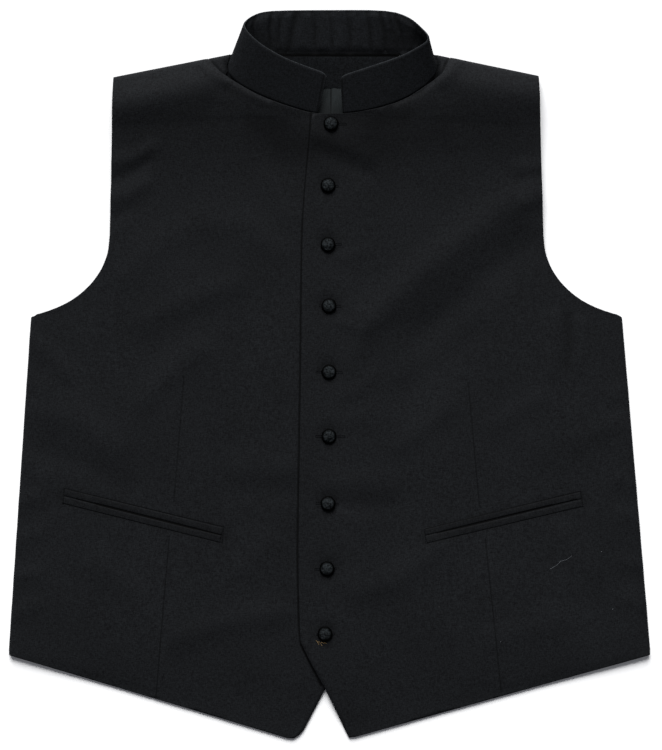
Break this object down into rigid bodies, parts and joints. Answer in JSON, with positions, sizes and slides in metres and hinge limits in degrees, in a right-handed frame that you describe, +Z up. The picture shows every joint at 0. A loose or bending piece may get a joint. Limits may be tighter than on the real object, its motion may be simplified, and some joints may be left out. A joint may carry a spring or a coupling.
{
  "type": "clergy vest",
  "caption": "Black sleeveless clergy vest with a standing band collar, covered buttons down the front and slanted jetted pockets, laid flat on its back.",
  "frame": {"origin": "on the surface that the vest lies on, under the middle of its box", "axes": "+Y from the hem to the collar, +X to the wearer's left, +Z up from the surface and out of the front of the vest"},
  "size_m": [0.6408, 0.7268, 0.0228],
  "materials": {
    "suiting": "matt black wool suiting",
    "collar_lining": "matt black lining cloth, softly crumpled",
    "satin": "dark grey satin lining"
  },
  "bodies": {
    "root": {"back": "suiting", "back_lining": "satin", "back_neck_facing": "suiting", "front_right": "suiting", "front_left": "suiting", "collar_band": "suiting", "collar_facing": "collar_lining", "pocket_right_upper_jet": "suiting", "pocket_right_lower_jet": "suiting", "pocket_left_upper_jet": "suiting", "pocket_left_lower_jet": "suiting", "button_1": "suiting", "button_2": "suiting", "button_3": "suiting", "button_4": "suiting", "button_5": "suiting", "button_6": "suiting", "button_7": "suiting", "button_8": "suiting", "button_9": "suiting"}
  },
  "joints": []
}
